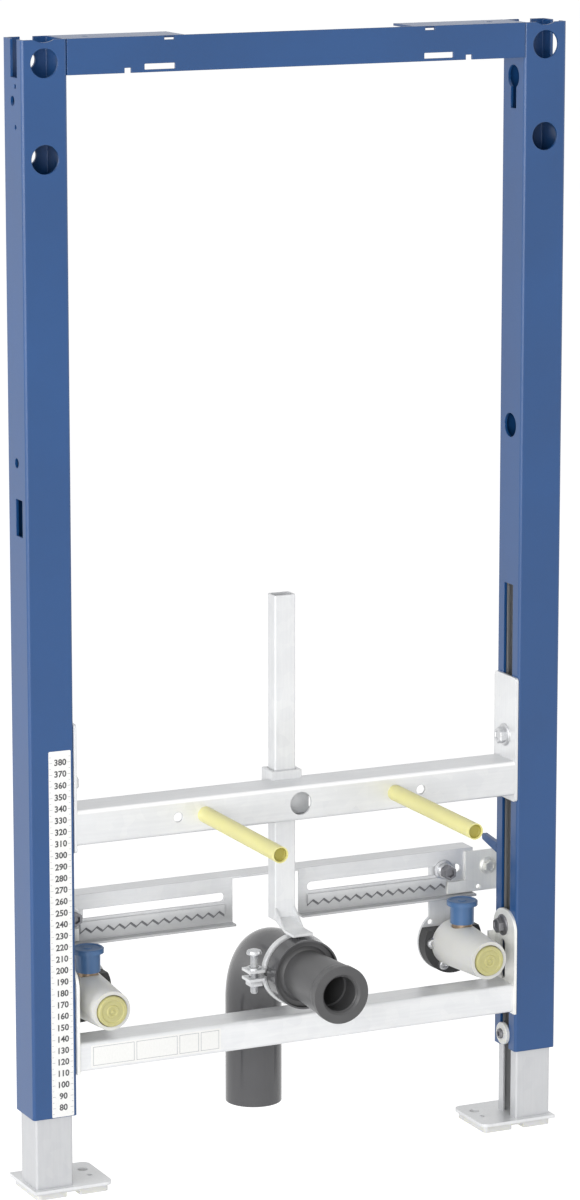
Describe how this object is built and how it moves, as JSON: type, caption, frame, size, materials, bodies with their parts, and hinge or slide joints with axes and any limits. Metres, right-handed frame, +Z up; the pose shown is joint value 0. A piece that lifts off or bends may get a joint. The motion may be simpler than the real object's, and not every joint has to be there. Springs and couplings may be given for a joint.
{
  "type": "wall hung bidet installation frame",
  "caption": "Upright steel frame on telescoping legs with a stud bar, a plugged water rail and a height adjustable waste bend, set in a wall to carry a wall hung bidet.",
  "frame": {"origin": "on the floor, midway between the uprights and midway along the depth", "axes": "+Z up, -Y to the front where the studs point, +X to the right seen from the front"},
  "size_m": [0.5, 0.273, 0.98],
  "materials": {
    "blue_coat": "powder coat",
    "zinc_sheet": "galvanised",
    "steel_rod": "zinc plated",
    "yellow_plastic": "satin",
    "black_rubber": "matt",
    "grey_pipe": "satin",
    "brass_fitting": "turned",
    "white_plastic": "satin",
    "blue_plastic": "moulded"
  },
  "bodies": {
    "frame": {"left_upright": "blue_coat", "right_upright": "blue_coat", "top_bar": "blue_coat", "ceramic_bar": "zinc_sheet", "left_bar_bracket": "zinc_sheet", "right_bar_bracket": "zinc_sheet", "carrier_collar": "zinc_sheet", "supply_rail": "zinc_sheet", "left_rail_bracket": "zinc_sheet", "right_rail_bracket": "zinc_sheet", "left_tap_plate": "zinc_sheet", "right_tap_plate": "zinc_sheet", "lower_bar": "zinc_sheet", "left_lower_bracket": "zinc_sheet", "right_lower_bracket": "zinc_sheet", "left_stud": "steel_rod", "right_stud": "steel_rod", "left_stud_sleeve": "yellow_plastic", "right_stud_sleeve": "yellow_plastic", "left_tap_plug": "yellow_plastic", "right_tap_plug": "yellow_plastic", "left_tap_pad": "black_rubber", "right_tap_pad": "black_rubber", "left_tap_elbow": "brass_fitting", "right_tap_elbow": "brass_fitting", "left_tap_sleeve": "white_plastic", "right_tap_sleeve": "white_plastic", "left_leg_brake": "white_plastic", "right_leg_brake": "white_plastic", "left_inlet_cap": "blue_plastic", "right_inlet_cap": "blue_plastic"},
    "left_leg": {"left_leg": "zinc_sheet", "left_foot_plate": "zinc_sheet", "left_foot_pad": "white_plastic"},
    "right_leg": {"right_leg": "zinc_sheet", "right_foot_plate": "zinc_sheet", "right_foot_pad": "white_plastic"},
    "waste_carrier": {"carrier_tube": "zinc_sheet", "clamp_strap": "zinc_sheet", "clamp_upper": "zinc_sheet", "clamp_lower": "zinc_sheet", "clamp_lining": "black_rubber", "waste_bend": "grey_pipe", "waste_seal": "black_rubber"}
  },
  "joints": [
    {"name": "left_leg_slide", "type": "slide", "parent": "frame", "child": "left_leg", "axis": [0, 0, -1], "range_m": [-0.057, 0.128]},
    {"name": "right_leg_slide", "type": "slide", "parent": "frame", "child": "right_leg", "axis": [0, 0, -1], "range_m": [-0.057, 0.128]},
    {"name": "waste_height", "type": "slide", "parent": "frame", "child": "waste_carrier", "axis": [0, 0, 1], "range_m": [0, 0.035]}
  ]
}
